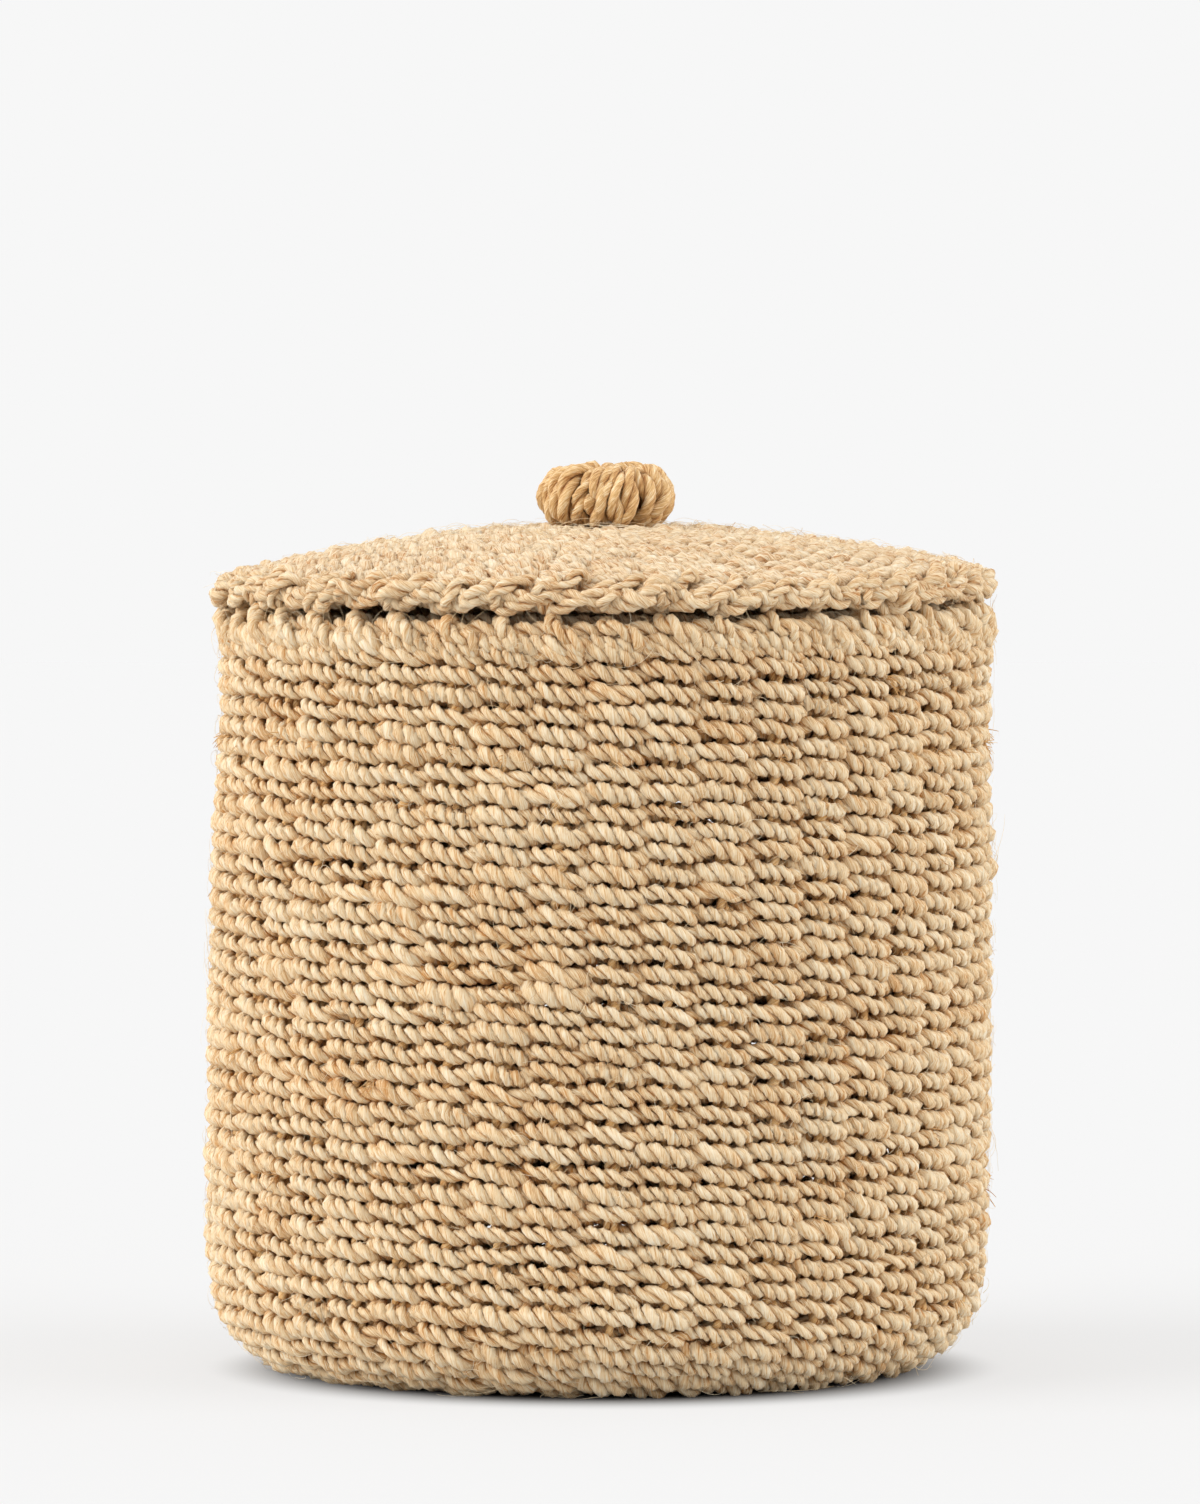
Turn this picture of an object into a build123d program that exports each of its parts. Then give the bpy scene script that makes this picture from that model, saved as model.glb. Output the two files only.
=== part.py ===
from build123d import *
import os
from math import asin, copysign, cos, degrees, pi, radians, sin, sqrt

# A lidded basket twined from two-ply cord. Stakes of cord run from the middle of the base to
# the rim, and weft cords are twined round them in courses. A loose lid is woven the same way.
# It rests on the rim, and a collar under it keeps it in place.
#
# Origin: the middle of the base, on the surface that the basket stands on. +Z is up.
# Lengths are in millimetres and angles in degrees.

# Weave, the same in the basket and its lid
stake_count = 44             # even, because every second stake is added part of the way out
stake_diameter = 4.4
stake_clearance = 0.3        # between a stake and the courses twined round it
stake_spacing = 1.2          # least width of weave between neighbouring stakes
course_pitch = 6.45          # from one course to the next
rib_depth = 1.2              # how far a course stands out from the groove beside it
lay_gap = 0.1                # between cords of one body that lie against each other

# Basket
wall_radius = 129.3          # out to the crowns of the courses
wall_thickness = 11.2
wall_courses = 33
wall_lengths = 4             # spliced lengths of weft that make up the wall
bend_radius = 27.0           # of the stakes, where the base turns up into the wall
bend_courses = 7
base_lift = 0.6              # the middle of the base stands this far clear of the floor

# Rim
rim_cord_diameter = 5.6
rim_lashing_thickness = 2.2
rim_lashing_width = 6.0

# Lid
lid_overhang = 0.7           # past the wall
lid_rest_gap = 0.4           # between the lid and the rim that it rests on
lid_rise = 15.0              # of the dome, from its edge to its middle
lid_thickness = 9.5
lid_edge_cord_diameter = 6.2
lid_lashing_thickness = 2.2
lid_lashing_width = 6.0

# Collar under the lid
collar_clearance = 1.6       # between the collar and the inside of the wall
collar_thickness = 6.0
collar_courses = 3
collar_pitch = 5.8
stitch_diameter = 2.2
stitch_clearance = 0.2

# Knob
knob_width = 45.7
knob_height = 20.6
knob_hole_radius = 4.0
knob_wraps = 18
knob_wrap_thickness = 3.0
knob_wrap_gap = 1.6          # degrees between wraps
tie_diameter = 5.0
tie_clearance = 0.3          # between the tie and the start of the lid
stopper_radius = 4.6         # knot at the tie's top end, wider than the hole in the knob
stopper_depth = 3.1          # of the stopper's middle below the top of the knob
tie_knot_radius = 8.0
tie_knot_height = 9.0

# Places that follow from the sizes above
stake_radius = wall_radius - wall_thickness / 2
stake_height = wall_thickness / 2
channel_radius = stake_diameter / 2 + stake_clearance
added_radius = stake_count * (2 * channel_radius + stake_spacing) / (2 * pi)
start_radius = added_radius / 2
flat_radius = stake_radius - bend_radius
bend_top = stake_height + bend_radius
wall_top = bend_top + wall_courses * course_pitch

rim_height = wall_top + lay_gap + rim_cord_diameter / 2
rim_reach = rim_cord_diameter / 2 + lay_gap + rim_lashing_thickness
rim_top = rim_height + rim_reach

lid_edge_reach = lid_edge_cord_diameter / 2 + lay_gap + lid_lashing_thickness
lid_edge_radius = wall_radius + lid_overhang - lid_edge_reach
lid_edge_height = rim_top + lid_rest_gap + lid_edge_reach
lid_edge_slope = 2 * lid_rise / lid_edge_radius
lid_weave_radius = lid_edge_radius - lid_edge_reach - lay_gap - lid_edge_slope * lid_thickness / 2
dome_radius = (lid_weave_radius ** 2 + lid_rise ** 2) / (2 * lid_rise)
dome_centre = lid_edge_height + lid_rise - dome_radius
lid_top = dome_centre + dome_radius + lid_thickness / 2

collar_radius = wall_radius - wall_thickness - collar_clearance - collar_thickness / 2

knob_ring_radius = (knob_width / 2 + knob_hole_radius) / 2
knob_ring_width = knob_width / 2 - knob_hole_radius
knob_bottom = lid_top + lay_gap
knob_middle = knob_bottom + knob_height / 2


def dome_height(radius):
    """Height of the middle of the lid's weave at a distance from its axis."""
    return dome_centre + sqrt(dome_radius ** 2 - radius ** 2)


def dome_angle(radius):
    """Angle from straight up to a place on the dome, seen from the dome's centre."""
    return degrees(asin(radius / dome_radius))


def on_base(inner, outer):
    """Maps a share of the way out, and a height below the stakes, to a place in the base."""
    return lambda share, reach: (inner + share * (outer - inner), stake_height - reach)


def on_bend(share, reach):
    """Maps a share of the way round the bend, and a distance out from the stakes, to a place."""
    angle = radians(90 * (share - 1))
    distance = bend_radius + reach
    return (flat_radius + distance * cos(angle), bend_top + distance * sin(angle))


def on_cylinder(radius, bottom, top):
    """Maps a share of the way up, and a distance out from the radius, to a place."""
    return lambda share, reach: (radius + reach, bottom + share * (top - bottom))


def on_dome(inner, outer):
    """Maps a share of the way out, and a height above the spokes, to a place in the lid."""
    first = dome_angle(inner)
    turn = dome_angle(outer) - first

    def place(share, reach):
        angle = radians(first + share * turn)
        distance = dome_radius + reach
        return (distance * sin(angle), dome_centre + distance * cos(angle))

    return place


def ribs(place, courses, reach):
    """An arc for each course, from groove to groove over its crown."""
    groove = reach - copysign(rib_depth, reach)
    for course in range(courses):
        start = place(course / courses, groove)
        crown = place((course + 0.5) / courses, reach)
        end = place((course + 1) / courses, groove)
        ThreePointArc(start, crown, end)


def woven_band(place, courses, near, far, curved=False, flat=False):
    """The wefts on one side of the stakes, turned about the axis.

    The band is smooth where it lies against the stakes, at the near depth. Its courses are ribs
    on the far side, unless it is flat there.
    """
    groove = far if flat else far - copysign(rib_depth, far)
    with BuildPart() as band:
        with BuildSketch(Plane.XZ):
            with BuildLine():
                if flat:
                    Line(place(0, far), place(1, far))
                else:
                    ribs(place, courses, far)
                Line(place(1, groove), place(1, near))
                if curved:
                    ThreePointArc(place(1, near), place(0.5, near), place(0, near))
                else:
                    Line(place(1, near), place(0, near))
                Line(place(0, near), place(0, groove))
            make_face()
        revolve(axis=Axis.Z)
    return band.part


def woven_ring(place, courses, outside, inside, curved=False, flat=False):
    """A band outside the stakes and a band inside them."""
    with BuildPart() as ring:
        add(woven_band(place, courses, channel_radius, outside, curved, flat))
        add(woven_band(place, courses, -channel_radius, inside, curved))
    return ring


def woven_disc(place, courses, outside, inside):
    """The start of a base or lid, woven right through, with no stakes in it."""
    with BuildPart() as disc:
        with BuildSketch(Plane.XZ):
            with BuildLine():
                ribs(place, courses, outside)
                Line(place(1, outside - rib_depth), place(1, inside + rib_depth))
                ribs(place, courses, inside)
                Line(place(0, inside + rib_depth), place(0, outside - rib_depth))
            make_face()
        revolve(axis=Axis.Z)
    return disc


def stake(inner):
    """A round cord from the base, round the bend and up to the top of the wall."""
    with BuildPart() as cord:
        with BuildLine(Plane.XZ) as route:
            Line((inner, stake_height), (flat_radius, stake_height))
            CenterArc((flat_radius, bend_top), bend_radius, -90, 90)
            Line((stake_radius, bend_top), (stake_radius, wall_top))
        with BuildSketch(Plane(origin=route.line @ 0, z_dir=route.line % 0)):
            Circle(stake_diameter / 2)
        sweep(path=route.line)
    return cord.part


def spoke(inner):
    """A round cord along the dome of the lid, out to the edge of the weave."""
    first = dome_angle(inner)
    last = dome_angle(lid_weave_radius)
    with BuildPart() as cord:
        with BuildLine(Plane.XZ) as route:
            CenterArc((0, dome_centre), dome_radius, 90 - last, last - first)
        with BuildSketch(Plane(origin=route.line @ 0, z_dir=route.line % 0)):
            Circle(stake_diameter / 2)
        sweep(path=route.line)
    return cord.part


def around_axis(piece, count, start_angle=0):
    """The same piece repeated round the axis, as separate solids."""
    with BuildPart() as group:
        with PolarLocations(0, count, start_angle=start_angle):
            add(piece)
    return group


def rim_wrap():
    """One turn of lashing over the rim cord, from the wall's inside to its outside."""
    bore = rim_cord_diameter / 2 + lay_gap
    leg = rim_height - wall_top
    with BuildPart() as wrap:
        with BuildSketch(Plane.XZ):
            with Locations((stake_radius, rim_height)):
                Circle(rim_reach)
            with Locations((stake_radius, rim_height - leg / 2)):
                Rectangle(2 * rim_reach, leg)
            with Locations((stake_radius, rim_height - rim_reach)):
                Rectangle(2 * rim_reach, 2 * (rim_reach - leg), mode=Mode.SUBTRACT)
            with Locations((stake_radius, rim_height)):
                Circle(bore, mode=Mode.SUBTRACT)
            with Locations((stake_radius, rim_height - leg / 2)):
                Rectangle(2 * bore, leg, mode=Mode.SUBTRACT)
        revolve(axis=Axis.Z, revolution_arc=degrees(rim_lashing_width / stake_radius))
    return wrap.part


def lid_edge_wrap():
    """One turn of lashing round the edge cord of the lid."""
    with BuildPart() as wrap:
        with BuildSketch(Plane.XZ):
            with Locations((lid_edge_radius, lid_edge_height)):
                Circle(lid_edge_reach)
                Circle(lid_edge_cord_diameter / 2 + lay_gap, mode=Mode.SUBTRACT)
        revolve(axis=Axis.Z, revolution_arc=degrees(lid_lashing_width / lid_edge_radius))
    return wrap.part


def cord_ring(radius, height, diameter):
    """A cord that runs level round the axis."""
    with BuildPart() as ring:
        with BuildSketch(Plane.XZ):
            with Locations((radius, height)):
                Circle(diameter / 2)
        revolve(axis=Axis.Z)
    return ring


def peg(radius, bottom, top, diameter):
    """An upright round cord at a distance from the axis."""
    with BuildPart() as cord:
        with BuildSketch(Plane.XY.offset(bottom)):
            with Locations((radius, 0)):
                Circle(diameter / 2)
        extrude(amount=top - bottom)
    return cord.part


def knob_wrap():
    """One turn of cord round the knob's ring, wider outside than in the hole."""
    half_width = knob_ring_width / 2
    half_height = knob_height / 2
    with BuildPart() as wrap:
        with BuildSketch(Plane.XZ):
            with Locations((knob_ring_radius, knob_middle)):
                Ellipse(half_width, half_height)
                Ellipse(
                    half_width - knob_wrap_thickness,
                    half_height - knob_wrap_thickness,
                    mode=Mode.SUBTRACT,
                )
        revolve(axis=Axis.Z, revolution_arc=360 / knob_wraps - knob_wrap_gap)
    return wrap.part


def course_count(length):
    """The whole number of courses that comes nearest to filling a length."""
    return max(1, round(length / course_pitch))


def finish(piece, name):
    """Labels a finished sub-part and writes it to its own file."""
    piece.part.label = name
    export_step(piece.part, f"parts/{name}.step")


os.makedirs("parts", exist_ok=True)
outside = wall_thickness / 2

# Base: a start, a ring twined round every second stake, and two rings round all of them
base_middle_radius = (added_radius + flat_radius) / 2

base_start = woven_disc(
    on_base(0, start_radius),
    course_count(start_radius),
    outside - base_lift,
    -outside,
)
finish(base_start, "base_start")

base_inner = woven_ring(
    on_base(start_radius, added_radius),
    course_count(added_radius - start_radius),
    outside - base_lift,
    -outside,
)
finish(base_inner, "base_weft_inner")

base_middle = woven_ring(
    on_base(added_radius, base_middle_radius),
    course_count(base_middle_radius - added_radius),
    outside - base_lift,
    -outside,
)
finish(base_middle, "base_weft_middle")

# The basket stands on this ring, which use has worn flat
base_outer = woven_ring(
    on_base(base_middle_radius, flat_radius),
    course_count(flat_radius - base_middle_radius),
    outside,
    -outside,
    flat=True,
)
finish(base_outer, "base_weft_outer")

# Wall
corner = woven_ring(on_bend, bend_courses, outside, -outside, curved=True)
finish(corner, "corner_weft")

length_courses = wall_courses // wall_lengths
for number in range(wall_lengths):
    first_course = number * length_courses
    last_course = wall_courses if number == wall_lengths - 1 else first_course + length_courses
    bottom = bend_top + first_course * course_pitch
    top = bend_top + last_course * course_pitch
    length = woven_ring(
        on_cylinder(stake_radius, bottom, top), last_course - first_course, outside, -outside
    )
    finish(length, f"wall_weft_{number + 1}")

# Stakes
half_step = 180 / (stake_count // 2)
finish(around_axis(stake(start_radius + lay_gap), stake_count // 2), "main_stakes")
finish(around_axis(stake(added_radius + lay_gap), stake_count // 2, half_step), "added_stakes")

# Rim
finish(cord_ring(stake_radius, rim_height, rim_cord_diameter), "rim_cord")
rim_lashing = around_axis(
    rim_wrap(), stake_count, -degrees(rim_lashing_width / stake_radius) / 2
)
finish(rim_lashing, "rim_lashing")

# Lid
lid_outside = lid_thickness / 2
lid_middle_radius = (added_radius + lid_weave_radius) / 2

tie_hole_radius = tie_diameter / 2 + tie_clearance
lid_start = woven_disc(
    on_dome(tie_hole_radius, start_radius),
    course_count(start_radius - tie_hole_radius),
    lid_outside,
    -lid_outside,
)
finish(lid_start, "lid_start")

lid_inner = woven_ring(
    on_dome(start_radius, added_radius),
    course_count(added_radius - start_radius),
    lid_outside,
    -lid_outside,
    curved=True,
)
finish(lid_inner, "lid_weft_inner")

lid_middle = woven_ring(
    on_dome(added_radius, lid_middle_radius),
    course_count(lid_middle_radius - added_radius),
    lid_outside,
    -lid_outside,
    curved=True,
)
finish(lid_middle, "lid_weft_middle")

# The underside of the outer ring is parted above the collar, for the collar's stitches. The gap
# leans with the dome and the stitches stand upright, so it is wider than they are by the lean.
underside_depth = (lid_outside + channel_radius) / 2
gap_middle = collar_radius * dome_radius / (dome_radius - underside_depth)
gap_lean = (lid_outside - channel_radius) / 2 * collar_radius / dome_radius
gap_half = stitch_diameter / 2 + stitch_clearance + gap_lean
with BuildPart() as lid_outer:
    spans = (
        (channel_radius, lid_outside, lid_middle_radius, lid_weave_radius, True),
        (-channel_radius, -lid_outside, lid_middle_radius, gap_middle - gap_half, True),
        (-channel_radius, -lid_outside, gap_middle + gap_half, lid_weave_radius, False),
    )
    for near, far, inner, outer, curved in spans:
        add(woven_band(on_dome(inner, outer), course_count(outer - inner), near, far, curved))
finish(lid_outer, "lid_weft_outer")

finish(around_axis(spoke(start_radius + lay_gap), stake_count // 2), "lid_main_spokes")
finish(around_axis(spoke(added_radius + lay_gap), stake_count // 2, half_step), "lid_added_spokes")

finish(cord_ring(lid_edge_radius, lid_edge_height, lid_edge_cord_diameter), "lid_edge_cord")
lid_edge_lashing = around_axis(
    lid_edge_wrap(), stake_count, -degrees(lid_lashing_width / lid_edge_radius) / 2
)
finish(lid_edge_lashing, "lid_edge_lashing")

# Collar, and the stitches that hold it to the underside of the lid
collar_top = dome_height(collar_radius + collar_thickness / 2) - lid_outside - lay_gap
collar_bottom = collar_top - collar_courses * collar_pitch
collar_place = on_cylinder(collar_radius, collar_bottom, collar_top)
with BuildPart() as collar:
    with BuildSketch(Plane.XZ):
        with BuildLine():
            ribs(collar_place, collar_courses, collar_thickness / 2)
            Line(
                collar_place(1, collar_thickness / 2 - rib_depth),
                collar_place(1, rib_depth - collar_thickness / 2),
            )
            ribs(collar_place, collar_courses, -collar_thickness / 2)
            Line(
                collar_place(0, rib_depth - collar_thickness / 2),
                collar_place(0, collar_thickness / 2 - rib_depth),
            )
        make_face()
    revolve(axis=Axis.Z)
finish(collar, "lid_collar")

stitch_top = dome_height(collar_radius) - channel_radius
stitch = peg(collar_radius, collar_top + lay_gap, stitch_top, stitch_diameter)
finish(around_axis(stitch, stake_count, 180 / stake_count), "collar_stitches")

# Knob
core_inset = knob_wrap_thickness + lay_gap
with BuildPart() as knob_core:
    with BuildSketch(Plane.XZ):
        with Locations((knob_ring_radius, knob_middle)):
            Ellipse(knob_ring_width / 2 - core_inset, knob_height / 2 - core_inset)
    revolve(axis=Axis.Z)
finish(knob_core, "knob_core")
finish(around_axis(knob_wrap(), knob_wraps), "knob_wrap")

# The tie comes up through the lid and the knob, and a knot at each end holds them together
lid_underside = lid_top - lid_thickness
stopper_height = knob_bottom + knob_height - stopper_depth
tie_knot_middle = lid_underside - lay_gap - tie_knot_height / 2
tie_bottom = tie_knot_middle - tie_knot_height / 2

with BuildPart() as knob_tie:
    with BuildSketch(Plane.XY.offset(tie_bottom)):
        Circle(tie_diameter / 2)
    extrude(amount=stopper_height - tie_bottom)
    with Locations((0, 0, stopper_height)):
        Sphere(stopper_radius)
finish(knob_tie, "knob_tie")

knot_bore = tie_diameter / 2 + lay_gap
knot_width = tie_knot_radius - knot_bore
with BuildPart() as tie_knot:
    with BuildSketch(Plane.XZ):
        with Locations((knot_bore + knot_width / 2, tie_knot_middle)):
            Ellipse(knot_width / 2, tie_knot_height / 2)
    revolve(axis=Axis.Z)
finish(tie_knot, "tie_knot")
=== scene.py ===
import bpy
import numpy as np
from math import ceil, pi, radians, sqrt, tau
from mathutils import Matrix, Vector


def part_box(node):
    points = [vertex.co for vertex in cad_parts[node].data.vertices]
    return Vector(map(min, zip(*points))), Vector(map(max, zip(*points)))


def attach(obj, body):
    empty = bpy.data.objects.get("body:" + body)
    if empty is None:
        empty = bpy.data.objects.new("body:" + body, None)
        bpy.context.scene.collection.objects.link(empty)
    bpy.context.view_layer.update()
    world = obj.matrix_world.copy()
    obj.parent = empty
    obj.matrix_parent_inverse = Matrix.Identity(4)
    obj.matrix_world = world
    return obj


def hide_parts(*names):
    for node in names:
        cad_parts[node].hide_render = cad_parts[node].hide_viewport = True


# The looks of a lidded basket, twined by hand from two-ply cord of pale plant fibre.
#
# Every cord is laid in the coordinates of the weave: an angle round the axis, a distance along
# the stakes from the middle of the base or lid, and a depth out from the stakes. basket_point
# and lid_point turn those into places, with the small lean and swell of a hand-made basket.
# Lengths are in metres, written as multiples of MM where that reads better.

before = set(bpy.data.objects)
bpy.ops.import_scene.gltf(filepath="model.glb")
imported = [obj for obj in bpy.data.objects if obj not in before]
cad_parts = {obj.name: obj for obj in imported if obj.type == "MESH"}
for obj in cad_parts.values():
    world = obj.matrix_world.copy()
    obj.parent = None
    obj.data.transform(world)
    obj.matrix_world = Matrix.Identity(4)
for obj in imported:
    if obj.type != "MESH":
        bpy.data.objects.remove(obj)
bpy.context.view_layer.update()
MM = 0.001

# ---------------------------------------------------------------- sizes taken from the frame
wall_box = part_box("wall_weft_1")
flat_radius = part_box("base_weft_outer")[1].x
start_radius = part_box("base_weft_inner")[1].x / 2
added_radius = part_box("base_weft_inner")[1].x
bend_top = wall_box[0].z
wall_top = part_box("wall_weft_4")[1].z
stake_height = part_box("base_weft_outer")[1].z / 2
bend_radius = bend_top - stake_height
stake_radius = flat_radius + bend_radius
lid_edge_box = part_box("lid_edge_cord")
lid_edge_height = (lid_edge_box[0].z + lid_edge_box[1].z) / 2
lid_edge_radius = lid_edge_box[1].x - (lid_edge_box[1].z - lid_edge_box[0].z) / 2
lid_weave_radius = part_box("lid_main_spokes")[1].x
knot_room = 9.2 * MM                 # the knot under the lid, and the gaps over and under the lid
lid_half = (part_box("knob_wrap")[0].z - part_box("knob_tie")[0].z - knot_room) / 2
lid_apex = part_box("lid_start")[1].z - lid_half
lid_rise = lid_apex - lid_edge_height
dome_radius = (lid_weave_radius ** 2 + lid_rise ** 2) / (2 * lid_rise)
collar_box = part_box("lid_collar")
knob_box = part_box("knob_wrap")

# ---------------------------------------------------------------- the cord and the weave
STAKES = 44                          # half of them are added part of the way out
FIRST_STAKE = -pi / 2 + 0.032        # angle of the stake nearest the front
COURSE = 6.45 * MM                   # from one course to the next
PLY = 1.70 * MM                      # radius of one ply of the weft
LAY = 10.2 * MM                      # length in which two plies turn once round each other
STEP = 1.45 * MM                     # between the rings of points along a ply
SIDES = 8                            # points in each ring
SLANT = 1.3 * MM                     # how far it swings up and down
LEAN = 0.0127                        # sideways for each metre up

bend_length = bend_radius * pi / 2
rim_distance = flat_radius + bend_length + wall_top - bend_top
lid_edge_distance = dome_radius * np.arcsin(lid_edge_radius / dome_radius)
lid_weave_distance = dome_radius * np.arcsin(lid_weave_radius / dome_radius)
stake_step = tau / STAKES


# ---------------------------------------------------------------- shape of the basket and lid
def ease(value, low, high):
    """0 below low, 1 above high, and smooth between them."""
    share = np.clip((value - low) / (high - low), 0, 1)
    return share * share * (3 - 2 * share)


def swell(angle, along):
    """Slow hand-made unevenness, about -1 to 1, that closes up round the basket."""
    return (
        0.42 * np.sin(2 * angle + 0.7 + along / 0.061)
        + 0.30 * np.sin(3 * angle + 2.1 - along / 0.043)
        + 0.22 * np.sin(5 * angle + 4.0 + along / 0.029)
        + 0.16 * np.sin(9 * angle + 1.2 - along / 0.037)
    )


def on_surface(angle, radius, height):
    """Places at an angle round the leaning axis."""
    angle, radius, height = np.broadcast_arrays(angle, radius, height)
    x = radius * np.cos(angle) + LEAN * height
    return np.stack([x, radius * np.sin(angle), height], axis=-1)


def basket_point(angle, along, depth):
    """A place in the basket's weave: depth is out from the stakes."""
    angle, along, depth = np.broadcast_arrays(angle, along, depth)
    free = ease(along, flat_radius, flat_radius + bend_length + 15 * MM)
    along = along + 0.9 * MM * free * swell(angle + 1.0, along)
    angle = angle + 0.8 * MM / stake_radius * free * swell(angle * 2 + 0.4, along * 1.7)
    turn = np.clip((along - flat_radius) / bend_radius, 0, pi / 2)
    rise = np.maximum(along - flat_radius - bend_length, 0)
    radius = np.minimum(along, flat_radius) + bend_radius * np.sin(turn)
    height = stake_height + bend_radius * (1 - np.cos(turn)) + rise
    height = height - 1.2 * MM * np.exp(-(((along - flat_radius) / MM - 8) / 7) ** 2)
    belly = 0.8 * ease(height, 30 * MM, 65 * MM) - 1.7 * ease(height, 165 * MM, 215 * MM)
    radius = radius + belly * MM + 0.55 * MM * free * swell(angle, along * 0.8)
    height = height + 1.6 * MM * (1 - ease(along, 10 * MM, 70 * MM))
    radius = radius + depth * np.sin(turn)
    height = height - depth * np.cos(turn)
    return on_surface(angle, radius, height)


def lid_point(angle, along, depth):
    """A place in the lid's weave: depth is up from the spokes."""
    angle, along, depth = np.broadcast_arrays(angle, along, depth)
    free = ease(along, 15 * MM, lid_edge_distance)
    along = along + 0.7 * MM * free * swell(angle + 2.0, along)
    turn = along / dome_radius
    reach = dome_radius + depth
    edge = 1.3 + free ** 2 * (0.9 + 0.9 * np.cos(angle - 0.2) + 0.6 * swell(angle, 0))
    radius = reach * np.sin(turn)
    height = lid_apex - dome_radius + reach * np.cos(turn) + edge * MM
    height = height + 0.7 * MM * free * swell(angle * 2, along * 1.5)
    return on_surface(angle, radius, height)


def out_of(place, angle, along, depth):
    """Unit vectors that point out of the weave."""
    near = place(angle, along, depth)
    far = place(angle, along, depth + MM)
    return unit(far - near)


def unit(vectors):
    return vectors / np.linalg.norm(vectors, axis=-1, keepdims=True)


# ---------------------------------------------------------------- plies and cords as tubes
def drift(rng, distance, spacing):
    """Smooth random values along a cord, about one swing in each spacing."""
    place = distance / spacing
    knots = rng.standard_normal(int(place[-1]) + 3)
    index = place.astype(int)
    share = place - index
    share = share * share * (3 - 2 * share)
    return knots[index] * (1 - share) + knots[index + 1] * share


def even_steps(path, step, *values):
    """A path, and values along it, taken again at even distances."""
    lengths = np.linalg.norm(np.diff(path, axis=0), axis=1)
    distance = np.concatenate([[0], np.cumsum(lengths)])
    places = np.linspace(0, distance[-1], max(4, ceil(distance[-1] / step)))
    even = [np.interp(places, distance, column) for column in path.T]
    return [places, np.stack(even, axis=-1)] + [np.interp(places, distance, v) for v in values]


def smooth_through(points, count):
    """A smooth curve through chosen points, as a Catmull-Rom spline."""
    points = np.asarray(points, float)
    ends = [2 * points[0] - points[1], *points, 2 * points[-1] - points[-2]]
    ends = np.array(ends)
    place = np.linspace(0, len(points) - 1 - 1e-9, count)
    i = place.astype(int)
    t = (place - i)[:, None]
    a, b, c, d = ends[i], ends[i + 1], ends[i + 2], ends[i + 3]
    return 0.5 * (
        2 * b + (c - a) * t + (2 * a - 5 * b + 4 * c - d) * t ** 2
        + (3 * b - a - 3 * c + d) * t ** 3
    )


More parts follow.
